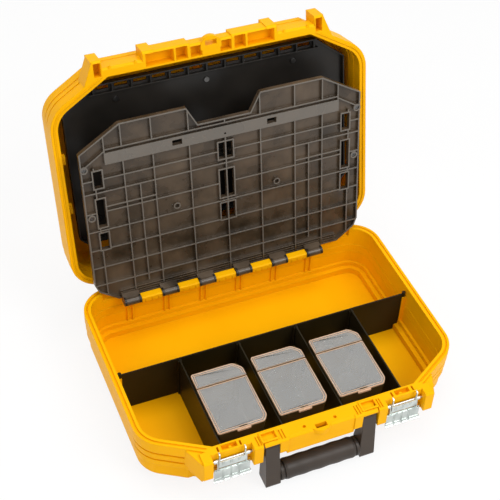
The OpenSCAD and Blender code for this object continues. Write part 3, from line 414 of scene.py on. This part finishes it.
def ring_edges(verts):
    """Edges whose ends are both among the vertices."""
    inside = set(verts)
    edges = {edge for vert in verts for edge in vert.link_edges
             if all(v in inside for v in edge.verts)}
    return list(edges)


def join_rings(bm, rings):
    """Skin from ring to ring, with a face over each end."""
    for before, after in zip(rings, rings[1:]):
        bmesh.ops.bridge_loops(bm, edges=ring_edges(before) + ring_edges(after))
    for end in (rings[0], rings[-1]):
        bmesh.ops.contextual_create(bm, geom=ring_edges(end))


print("made ring, ring_edges and join_rings")


# %% [markdown]
# ## Grip of the handle
#
# The grip is a soft sleeve over the bar between the arms, with low swells where the fingers lie
# and a narrow neck at each end. It could be a lathed outline, spun about the bar. Rings of the
# right radius, set along the bar and bridged, give the same skin, and the swells then come from
# one function of the place along the bar.

# %% Sizes of the grip
low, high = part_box("handle_grip")
GRIP_Y, GRIP_Z = (low[1] + high[1]) / 2, (low[2] + high[2]) / 2
GRIP_END = high[0] - 0.0002
GRIP_R = 0.0147
# lengths from the end of the sleeve, and how much narrower it is there
ROUND_LENGTH, ROUND_CUT = 0.0006, 0.0018
NECK_LENGTH, NECK_CUT = 0.0050, 0.0011
GROOVE_LENGTH, GROOVE_CUT = 0.0014, 0.0028
SHOULDER_LENGTH, SHOULDER_CUT = 0.004, 0.0010
SWELL_PITCH, SWELL_CUT = 0.0245, 0.0006
STATIONS, GRIP_SIDES = 150, 48
print("grip from", round(-GRIP_END, 4), "to", round(GRIP_END, 4))


# %% Radius along the grip
def grip_radius(x):
    from_end = GRIP_END - abs(x)
    if from_end < ROUND_LENGTH:
        return GRIP_R - ROUND_CUT
    if from_end < NECK_LENGTH:
        return GRIP_R - NECK_CUT
    if from_end < NECK_LENGTH + GROOVE_LENGTH:
        return GRIP_R - GROOVE_CUT
    swell = 0.5 + 0.5 * math.cos(2 * math.pi * x / SWELL_PITCH)
    shoulder = min(1.0, (from_end - NECK_LENGTH - GROOVE_LENGTH) / SHOULDER_LENGTH)
    return GRIP_R - SHOULDER_CUT * (1 - shoulder) - SWELL_CUT * (1 - swell)


print("grip radius, middle and end:", [round(grip_radius(x), 4) for x in (0, GRIP_END)])


# %% Sleeve of the grip
ACROSS = Matrix.Rotation(math.radians(90), 4, "Y")

bm = bmesh.new()
stations = [GRIP_END * (2 * i / STATIONS - 1) for i in range(STATIONS + 1)]
join_rings(bm, [ring(bm, (x, GRIP_Y, GRIP_Z), ACROSS, grip_radius(x), GRIP_SIDES)
                for x in stations])
grip = add_piece("grip_sleeve", bm, "handle", [GRIP], sharp=38)
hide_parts("handle_grip")

# %% [markdown]
# ## Covers of the bins
#
# Each bin has a clear cover in two parts with a crease between them: the front part is the lid, and
# the rear part stays on the cup. The rounded border could be a swept profile. Insets are simpler:
# the outline is one face with rounded corners, it gets a thickness, and each inset on its upper
# face can raise or lower the field inside, which leaves a border that catches the light.

# %% Sizes of the covers
CORNER, CORNER_STEPS, COVER_T = 0.0032, 5, 0.0016
# EDGE faces take the warm tint, a painted reflection of the yellow case
FIELD, EDGE = 0, 1
# width of each inset, how far the field inside it rises, and the look of its ring
COVER_STEPS = [(0.0004, 0.0005, EDGE), (0.0009, 0.0, EDGE), (0.0004, -0.0005, EDGE),
               (0.0017, 0.0, FIELD), (0.0003, 0.0004, EDGE), (0.0005, 0.0, EDGE),
               (0.0003, -0.0004, EDGE)]
# a face with more corners than this is the whole outline, not a side of it
SIDE_CORNERS = 6
UPWARDS = 0.3
print("border of a cover", round(sum(step[0] for step in COVER_STEPS) * 1000, 2), "mm wide")


# %% One cover from its outline
def only(kind, geom):
    """The vertices, edges or faces in a mixed list."""
    return [g for g in geom if isinstance(g, kind)]


def cover(name, body, outline, round_at, z, plain):
    """Cover whose border is left out where plain(y) is true, so that the crease is one line."""
    bm = bmesh.new()
    verts = [bm.verts.new((x, y, z)) for x, y in outline]
    bm.faces.new(verts)
    bmesh.ops.bevel(bm, geom=[verts[i] for i in round_at], offset=CORNER, affect="VERTICES",
                    segments=CORNER_STEPS, profile=0.5, material=-1)
    made = bmesh.ops.extrude_face_region(bm, geom=bm.faces[:])["geom"]
    bmesh.ops.translate(bm, verts=only(bmesh.types.BMVert, made), vec=(0, 0, COVER_T))
    field = only(bmesh.types.BMFace, made)
    # the border faces get the warm edge tint, a painted reflection of the yellow case
    for face in bm.faces:
        face.material_index = FIELD if len(face.verts) > SIDE_CORNERS else EDGE
    for width, rise, look in COVER_STEPS:
        border = bmesh.ops.inset_region(bm, faces=field, thickness=width, depth=rise)["faces"]
        for face in border:
            face.material_index = look
    for face in bm.faces:
        centre = face.calc_center_median()
        if face in field or (face.normal.z > UPWARDS and plain(centre.y)):
            face.material_index = FIELD
    return add_piece(name, bm, body, [LID_CLEAR, LID_EDGE_PAINTED_REFLECTION], sharp=40)


print("made only and cover, for covers", COVER_T, "thick")


# %% [markdown]
# ## Tab and latch slot of a bin
#
# A thumb tab with small teeth stands at the front of each lid, and behind it a dark block stands
# for
# the slot: painted shade where the slot is open. Both are boxes with softened edges. A cube is
# stretched between two corners and its edges are bevelled as geometry, because these edges are
# large enough to show.

# %% Block between two corners
def block(bm, low, high, soften=0.0):
    made = bmesh.ops.create_cube(bm, size=1)["verts"]
    size, centre = Vector(high) - Vector(low), (Vector(high) + Vector(low)) / 2
    place = Matrix.Translation(centre) @ Matrix.Diagonal((*size, 1))
    bmesh.ops.transform(bm, matrix=place, verts=made)
    if soften:
        edges = list({edge for vert in made for edge in vert.link_edges})
        bmesh.ops.bevel(bm, geom=edges, offset=soften, affect="EDGES", segments=2, profile=0.5,
                        material=-1)


print("made block")


# %% Tab with its teeth
# depths are measured down from the top of the lid
TAB_HALF, TAB_REACH, TAB_BEHIND = 0.0095, 0.0022, 0.0006
TAB_BOTTOM, TAB_TOP, TAB_SOFT = 0.0042, 0.0012, 0.0005
TEETH, FIRST_TOOTH, TOOTH_PITCH, TOOTH_HALF = 8, 0.0077, 0.0022, 0.0004
TOOTH_OUT, TOOTH_IN, TOOTH_BOTTOM, TOOTH_TOP = 0.0024, 0.0016, 0.0040, 0.0010


def tab(k, middle, front, top):
    bm = bmesh.new()
    block(bm, (middle - TAB_HALF, front - TAB_REACH, top - TAB_BOTTOM),
          (middle + TAB_HALF, front + TAB_BEHIND, top - TAB_TOP), TAB_SOFT)
    for tooth in range(TEETH):
        x = middle - FIRST_TOOTH + tooth * TOOTH_PITCH
        block(bm, (x - TOOTH_HALF, front - TOOTH_OUT, top - TOOTH_BOTTOM),
              (x + TOOTH_HALF, front - TOOTH_IN, top - TOOTH_TOP))
    # the tab takes the warm edge tint too: a painted reflection of the yellow case
    add_piece(f"bin_{k}_tab", bm, f"bin_{k}_lid", [LID_EDGE_PAINTED_REFLECTION])


print("tab", 2 * TAB_HALF, "wide with", TEETH, "teeth")


# %% Slot behind the tab, a dark block of painted shade
SLOT_HALF, SLOT_FRONT, SLOT_BACK = 0.0055, 0.0018, 0.0031
SLOT_BELOW, SLOT_ABOVE, SLOT_SOFT = 0.0012, 0.0002, 0.0003


def latch_slot_painted_shade(k, middle, front, top):
    bm = bmesh.new()
    block(bm, (middle - SLOT_HALF, front + SLOT_FRONT, top - SLOT_BELOW),
          (middle + SLOT_HALF, front + SLOT_BACK, top + SLOT_ABOVE), SLOT_SOFT)
    # dark divider plastic stands for the shade inside the slot: painted shade
    add_piece(f"bin_{k}_latch_slot_painted_shade", bm, f"bin_{k}_lid", [DIVIDER])


print("slot", 2 * SLOT_HALF, "wide")


# %% [markdown]
# ## Dressing the three bins
#
# The bins are alike, so one loop dresses them from the boxes of their own solids. The lid's rear
# edge swings down behind the hinge when it opens. The rear cover could simply start at the crease,
# but the lid would then cut through it, so it starts just behind the arc of that edge.

# %% Covers, tab and slot of each bin
CUT = 0.0085
FRONT_CUT, REAR_CUT = CUT * 0.7, CUT * 1.3
COVER_DROP, CUP_CLEAR = 0.0004, 0.0001
CREASE_CLEAR, SWING_CLEAR = 0.0004, 0.0007
PLAIN_FAR, PLAIN_NEAR, PLAIN_REAR = 0.0065, 0.0012, 0.0060

for k in (1, 2, 3):
    (x0, front, _), (x1, crease, top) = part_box(f"bin_{k}_lid")
    cup_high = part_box(f"bin_{k}_cup")[1]
    front, rear = front + TAB_REACH, cup_high[1]
    z = top - COVER_T - COVER_DROP
    lid = cover(f"bin_{k}_cover", f"bin_{k}_lid",
                [(x0, front), (x1 - FRONT_CUT, front), (x1, front + CUT), (x1, crease),
                 (x0, crease)],
                (0, 1, 2), z, lambda y: crease - PLAIN_FAR < y < crease - PLAIN_NEAR)
    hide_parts(f"bin_{k}_lid")
    hinge = joint_at(f"bin_{k}_lid_hinge")
    rear_edge = max(crease + CREASE_CLEAR, hinge[1] + top - hinge[2] + SWING_CLEAR)
    print("crease", round(crease * 1000, 2), "rear edge", round(rear_edge * 1000, 2))
    cover(f"bin_{k}_rear_cover", f"bin_{k}",
          [(x0, rear_edge), (x1, rear_edge), (x1, rear - REAR_CUT), (x1 - REAR_CUT, rear),
           (x0, rear)],
          (2, 3, 4), max(z, cup_high[2] + CUP_CLEAR), lambda y: y < crease + PLAIN_REAR)
    middle = (x0 + x1) / 2
    tab(k, middle, front, top)
    latch_slot_painted_shade(k, middle, front, top)

# %% [markdown]
# ## Collars of the lug wells
#
# The lid's lugs drop into two wells in the base's front wall. A low collar stands round each well,
# and the lid's hollow takes it when the case is shut. A frame could be cut out of a box with a
# boolean, which leaves untidy faces. Four rectangular loops, two outside and two inside, are
# bridged in a round instead, and the upper edges are bevelled.

# %% Flat rectangles, and loops joined in a round
def rectangle(bm, centre, width, depth):
    made = bmesh.ops.create_grid(bm, x_segments=1, y_segments=1, size=0.5)["verts"]
    place = Matrix.Translation(centre) @ Matrix.Diagonal((width, depth, 1, 1))
    bmesh.ops.transform(bm, matrix=place, verts=made)
    return made


def join_round(bm, loops):
    """Skin from loop to loop and back to the first, which gives a closed frame."""
    for loop, following in zip(loops, loops[1:] + loops[:1]):
        bmesh.ops.bridge_loops(bm, edges=loop + following)


print("made rectangle and join_round")


# %% Both collars
COLLAR_WALL, COLLAR_H, COLLAR_ROOT, COLLAR_SOFT = 0.00275, 0.0022, 0.0004, 0.0007
COLLAR_LOW, COLLAR_HIGH = (0.0594, -0.1704), (0.0834, -0.1541)
RIM_Z = joint_at("lid_hinge")[2]


def collar_loop(bm, sign, grow, z):
    """Edges of the collar's outline, moved inwards by a wall, at one height."""
    width, depth = [high - low - 2 * grow for low, high in zip(COLLAR_LOW, COLLAR_HIGH)]
    middle = [(high + low) / 2 for low, high in zip(COLLAR_LOW, COLLAR_HIGH)]
    made = rectangle(bm, (sign * middle[0], middle[1], z), width, depth)
    faces = list({f for v in made for f in v.link_faces})
    bmesh.ops.delete(bm, geom=faces, context="FACES_ONLY")
    return ring_edges(made)


for side, sign in (("left", -1), ("right", 1)):
    bm = bmesh.new()
    root, rim = RIM_Z - COLLAR_ROOT, RIM_Z + COLLAR_H
    steps = ((0, root), (0, rim), (COLLAR_WALL, rim), (COLLAR_WALL, root))
    loops = [collar_loop(bm, sign, grow, z) for grow, z in steps]
    upper = loops[1] + loops[2]
    join_round(bm, loops)
    bmesh.ops.bevel(bm, geom=upper, offset=COLLAR_SOFT, affect="EDGES", segments=3, profile=0.5,
                    material=-1)
    add_piece(f"lug_collar_{side}", bm, "base", [YELLOW])

# %% [markdown]
# ## Pressed sheet of the latches
#
# A draw latch is a lever and a hook, both of thin sheet, and three pairs of narrow grooves stiffen
# it. Displacement could press the grooves, but it needs a dense mesh. The sheet's cross-section is
# a single folded line instead: it is drawn once, swept upwards, and given a thickness.

# %% Sheet with its grooves
GROOVES = (-0.0143, -0.0122, -0.0031, -0.0010, 0.0079, 0.0100)
GROOVE_W, GROOVE_DEPTH, SHEET_T = 0.0009, 0.0009, 0.0005


def pressed_sheet(bm, middle, half, face, low, high):
    line = [(-half, 0)]
    for x in GROOVES:
        line += [(x - GROOVE_W / 2, 0), (x, GROOVE_DEPTH), (x + GROOVE_W / 2, 0)]
    line.append((half, 0))
    verts = [bm.verts.new((middle + x, face + dy, low)) for x, dy in line]
    edges = [bm.edges.new(pair) for pair in zip(verts, verts[1:])]
    made = bmesh.ops.extrude_edge_only(bm, edges=edges)["geom"]
    bmesh.ops.translate(bm, verts=only(bmesh.types.BMVert, made), vec=(0, 0, high - low))
    sheet = only(bmesh.types.BMFace, made)
    back = bmesh.ops.extrude_face_region(bm, geom=sheet, use_keep_orig=True)["geom"]
    bmesh.ops.translate(bm, verts=only(bmesh.types.BMVert, back), vec=(0, SHEET_T, 0))


print("sheet", SHEET_T, "thick with", len(GROOVES), "grooves")


# %% Strip spun about X
def spun_strip(bm, centre, width, depth, about, degrees, steps):
    """Rectangle turned about an axis along X, which leaves a curved strip behind it."""
    made = rectangle(bm, centre, width, depth)
    start = list({f for v in made for f in v.link_faces})
    geom = start + list({e for f in start for e in f.edges}) + made
    bmesh.ops.spin(bm, geom=geom, cent=about, axis=(1, 0, 0), angle=math.radians(degrees),
                   steps=steps)


print("made spun_strip")


# %% Where a latch is
def latch_place(side):
    """Middle of a latch, half the width of lever and hook, and its pin, from the solids."""
    lever_low, lever_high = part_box(f"latch_{side}_lever")
    hook_low, hook_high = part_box(f"latch_{side}_hook")
    pin_low, pin_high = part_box(f"latch_{side}_pin")
    middle, half = (lever_low[0] + lever_high[0]) / 2, (lever_high[0] - lever_low[0]) / 2
    hook_half = (hook_high[0] - hook_low[0]) / 2
    pin_y, pin_z = (pin_low[1] + pin_high[1]) / 2, (pin_low[2] + pin_high[2]) / 2
    return middle, half, hook_half, pin_y, pin_z


print("left latch", [round(value, 4) for value in latch_place("left")])

# %% [markdown]
# ## Lever of a latch
#
# The lever hangs below the pin, and its lower edge flares outwards as a lip for the fingers. The
# lip is flat between the grooves and broken by them. It is spun from four short strips, one for
# each flat, because one strip across the whole width would close the grooves.

# %% Face of the lever with its lip
# heights and depths are measured from the pin
LEVER_BOTTOM, LEVER_TOP, LEVER_FACE = 0.0330, 0.0152, 0.0042
LIP_PAST, LIP_GAP, LIP_RISE, LIP_T = 0.0012, 0.0007, 0.0012, 0.0011
LIP_R, LIP_TURN, LIP_STEPS = 0.0042, -78, 8


def lever_face(side):
    middle, half, _, pin_y, pin_z = latch_place(side)
    low, high, face = pin_z - LEVER_BOTTOM, pin_z - LEVER_TOP, pin_y - LEVER_FACE
    bm = bmesh.new()
    pressed_sheet(bm, middle, half, face, low, high)
    flats = [(-half - LIP_PAST, GROOVES[0] - LIP_GAP),
             (GROOVES[1] + LIP_GAP, GROOVES[2] - LIP_GAP),
             (GROOVES[3] + LIP_GAP, GROOVES[4] - LIP_GAP),
             (GROOVES[5] + LIP_GAP, half + LIP_PAST)]
    for x0, x1 in flats:
        spun_strip(bm, (middle + (x0 + x1) / 2, face, low + LIP_RISE), x1 - x0, LIP_T,
                   (middle, face - LIP_R, low + LIP_RISE), LIP_TURN, LIP_STEPS)
    add_piece(f"latch_{side}_face", bm, f"latch_{side}", [LATCH], sharp=30)


print("lever face", round(LEVER_BOTTOM - LEVER_TOP, 4), "high")


# %% [markdown]
# ## Hook of a latch
#
# The hook's plate lies in front of the pin. Two round claws rise from it and bend inwards to catch
# the lid. A curve with a bevel could draw a claw, but it would have to be turned into a mesh. Rings
# that follow the bend and grow thinner towards the tip are bridged straight away.

# %% Rod bent in one plane
def bent_rod(bm, x, points, count=12):
    """Round rod through points (y, z, radius) in one plane."""
    rings = []
    for i, (y, z, radius) in enumerate(points):
        (y0, z0, _), (y1, z1, _) = points[max(i - 1, 0)], points[min(i + 1, len(points) - 1)]
        turn = Vector((0, y1 - y0, z1 - z0)).to_track_quat("Z", "X").to_matrix().to_4x4()
        rings.append(ring(bm, (x, y, z), turn, radius, count))
    join_rings(bm, rings)


print("made bent_rod")


# %% Face of the hook with its claws
HOOK_BOTTOM, HOOK_TOP, HOOK_FACE = 0.0060, 0.0008, 0.0040
CLAW_INSET = 0.0008
CLAW = [(-0.0029, 0.0002, 0.0011), (-0.0029, 0.0080, 0.0011), (-0.0026, 0.0120, 0.0010),
        (-0.0018, 0.0148, 0.0008), (-0.0004, 0.0161, 0.0007), (0.0011, 0.0163, 0.0006)]


def hook_face(side):
    middle, _, hook_half, pin_y, pin_z = latch_place(side)
    bm = bmesh.new()
    pressed_sheet(bm, middle, hook_half, pin_y - HOOK_FACE, pin_z - HOOK_BOTTOM,
                  pin_z + HOOK_TOP)
    for x in (-hook_half + CLAW_INSET, hook_half - CLAW_INSET):
        bent_rod(bm, middle + x, [(pin_y + dy, pin_z + dz, radius) for dy, dz, radius in CLAW])
    add_piece(f"latch_{side}_hook_face", bm, f"latch_{side}_hook", [LATCH],
              sharp=30)


print("claws reach", CLAW[-1][1], "above the pin")


# %% [markdown]
# ## Curls round the pin
#
# The lever's sheet is rolled round its pin at both ends. Each curl is a short tube: four circles,
# two outside and two inside, bridged in a round as the collars are.

# %% Curls of one latch
CURL_LENGTH, CURL_IN, CURL_OUT, CURL_SIDES = 0.0044, 0.0018, 0.0027, 28


def sleeve(bm, x, length, y, z, inner, outer):
    """Short tube about X."""
    steps = ((-length / 2, inner), (-length / 2, outer), (length / 2, outer), (length / 2, inner))
    join_round(bm, [ring_edges(ring(bm, (x + dx, y, z), ACROSS, radius, CURL_SIDES))
                    for dx, radius in steps])


def pin_curls(side):
    middle, half, _, pin_y, pin_z = latch_place(side)
    bm = bmesh.new()
    for x in (-half + CURL_LENGTH / 2, half - CURL_LENGTH / 2):
        sleeve(bm, middle + x, CURL_LENGTH, pin_y, pin_z, CURL_IN, CURL_OUT)
    add_piece(f"latch_{side}_curls", bm, f"latch_{side}", [LATCH], sharp=40)


print("curls", 2 * CURL_OUT, "across")


# %% Both latches
for side in ("left", "right"):
    lever_face(side)
    hook_face(side)
    pin_curls(side)

# %% [markdown]
# ## Clips on the knuckles of the leaf
#
# Each knuckle of the leaf ends in a C-shaped clip that snaps over the hinge rod. A ring with a
# piece cut out would do, but a small rectangle spun about two thirds of a turn round the rod gives
# the C at once, with both of its ends closed.

# %% Clips on both ends of each knuckle
KNUCKLES, KNUCKLE_PITCH, KNUCKLE_LENGTH, FIRST_KNUCKLE = 6, 0.057, 0.025, -0.1555
CLIP_INSET, CLIP_OUT, CLIP_W, CLIP_T = 0.0014, 0.0062, 0.0026, 0.0022
CLIP_TURN, CLIP_STEPS = -250, 20

bm = bmesh.new()
for k in range(KNUCKLES):
    for side in (-1, 1):
        x = FIRST_KNUCKLE + k * KNUCKLE_PITCH + side * (KNUCKLE_LENGTH / 2 - CLIP_INSET)
        spun_strip(bm, (x, ROD.y - CLIP_OUT, ROD.z), CLIP_W, CLIP_T, ROD, CLIP_TURN, CLIP_STEPS)
add_piece("leaf_clips", bm, "leaf", [PANEL], sharp=40)

# %% [markdown]
# ## Camera
#
# The case is seen from the front left and well above, from less than two metres away. A camera can
# be turned with a Track To constraint, but its small roll would then need a second step. A
# quaternion from the view direction, turned by the roll, sets both at once.

# %% Camera
SENSOR, LENS, FAR = 36, 86.04, 20
CAMERA_AT = Vector((-0.4877, -0.9907, 1.3289))
CAMERA_AIM = Vector((0.0366, 0.161, 0.086))
CAMERA_ROLL = 2.85

camera_data = bpy.data.cameras.new("camera")
camera_data.sensor_width = SENSOR
camera_data.lens = LENS
camera_data.clip_end = FAR
camera = bpy.data.objects.new("camera", camera_data)
bpy.context.scene.collection.objects.link(camera)
camera.rotation_mode = "QUATERNION"
camera.location = CAMERA_AT
aim = (CAMERA_AIM - CAMERA_AT).to_track_quat("-Z", "Y")
roll = Matrix.Rotation(math.radians(CAMERA_ROLL), 3, "Z").to_quaternion()
camera.rotation_quaternion = aim @ roll
bpy.context.scene.camera = camera
print("camera", round((CAMERA_AIM - CAMERA_AT).length, 3), "m from its aim")

# %% [markdown]
# ## Lights
#
# Plain studio light shows a moulded part best. A sun would give hard shadows in the ribs and bins,
# so three large area lights are used: a key from the front right, a weaker fill from the left, and
# one from above that reaches into the base.

# %% Three area lights
LIGHT_AIM = (0, 0.05, 0.1)
# name, place, size and power in watts
LIGHTS = [("key", (0.9, -1.3, 1.9), (1.2, 1.0), 26),
          ("fill", (-1.5, -1.0, 1.7), (1.4, 1.2), 10),
          ("top", (0.0, 0.3, 2.4), (1.3, 1.3), 20)]

for name, place, size, power in LIGHTS:
    data = bpy.data.lights.new(name, "AREA")
    data.shape = "RECTANGLE"
    data.size, data.size_y = size
    data.energy = power
    light = bpy.data.objects.new(name, data)
    light.location = place
    light.rotation_mode = "QUATERNION"
    light.rotation_quaternion = (Vector(LIGHT_AIM) - Vector(place)).to_track_quat("-Z", "Y")
    bpy.context.scene.collection.objects.link(light)
print("lights:", [row[0] for row in LIGHTS])

# %% [markdown]
# ## White backdrop
#
# The backdrop has to look white without lighting the case more. More light would wash out the
# yellow. A Light Path node tells who is looking: the camera, gloss and glass see plain white, and
# everything else gets the soft light that the object needs.

# %% Two shaders, chosen by the kind of ray
SOFT_LIGHT = 0.5
WHITE = (1, 1, 1, 1)


def white_for_viewer(tree, lit, viewed):
    """Mix two shaders: one lights the object, the other is what camera, gloss and glass see."""
    path = tree.nodes.new("ShaderNodeLightPath")
    most = path.outputs["Is Camera Ray"]
    for other in ("Is Glossy Ray", "Is Transmission Ray"):
        larger = tree.nodes.new("ShaderNodeMath")
        larger.operation = "MAXIMUM"
        tree.links.new(most, larger.inputs[0])
        tree.links.new(path.outputs[other], larger.inputs[1])
        most = larger.outputs["Value"]
    mix = tree.nodes.new("ShaderNodeMixShader")
    tree.links.new(most, mix.inputs["Fac"])
    tree.links.new(lit, mix.inputs[1])
    tree.links.new(viewed, mix.inputs[2])
    return mix.outputs["Shader"]


print("made white_for_viewer")


# %% World
world = bpy.data.worlds.new("world")
world.use_nodes = True
tree = world.node_tree
soft = tree.nodes["Background"]
soft.inputs["Color"].default_value = WHITE
soft.inputs["Strength"].default_value = SOFT_LIGHT
backdrop = tree.nodes.new("ShaderNodeBackground")
backdrop.inputs["Color"].default_value = WHITE
sky = white_for_viewer(tree, soft.outputs["Background"], backdrop.outputs["Background"])
tree.links.new(sky, tree.nodes["World Output"].inputs["Surface"])
bpy.context.scene.world = world
bpy.context.scene.view_settings.view_transform = "Standard"
print("world strength", SOFT_LIGHT)

# %% [markdown]
# ## Floor
#
# The floor takes the case's shadow and otherwise fades into the backdrop. A shadow catcher would
# need a transparent film. Most of this floor glows white for the viewer, and the small share that
# is left is plain paint, in which the shadow still shows.

# %% Pale floor
FLOOR_HALF = 6.0
FLOOR_DARK, FLOOR_LIGHT = (0.86, 0.86, 0.86), (0.9, 0.9, 0.9)
FLOOR_ROUGH, GLOW_SHARE = 0.9, 0.86

floor_mesh = bpy.data.meshes.new("floor")
bm = bmesh.new()
bmesh.ops.create_grid(bm, x_segments=1, y_segments=1, size=FLOOR_HALF)
bm.to_mesh(floor_mesh)
bm.free()
floor = bpy.data.objects.new("floor", floor_mesh)
bpy.context.scene.collection.objects.link(floor)
n = Nodes("floor")
n.link(n.colour(n.noise(scale=3), FLOOR_DARK, FLOOR_LIGHT), "Color", n.shader, "Base Color")
n.shader.inputs["Roughness"].default_value = FLOOR_ROUGH
glow = n.add("ShaderNodeEmission", Strength=1.0)
pale = n.add("ShaderNodeMixShader", Fac=GLOW_SHARE)
n.link(n.shader, "BSDF", pale, 1)
n.link(glow, "Emission", pale, 2)
seen = white_for_viewer(n.tree, n.shader.outputs["BSDF"], pale.outputs["Shader"])
n.tree.links.new(seen, n.out.inputs["Surface"])
floor_mesh.materials.append(n.material)
print("floor", 2 * FLOOR_HALF, "m wide")
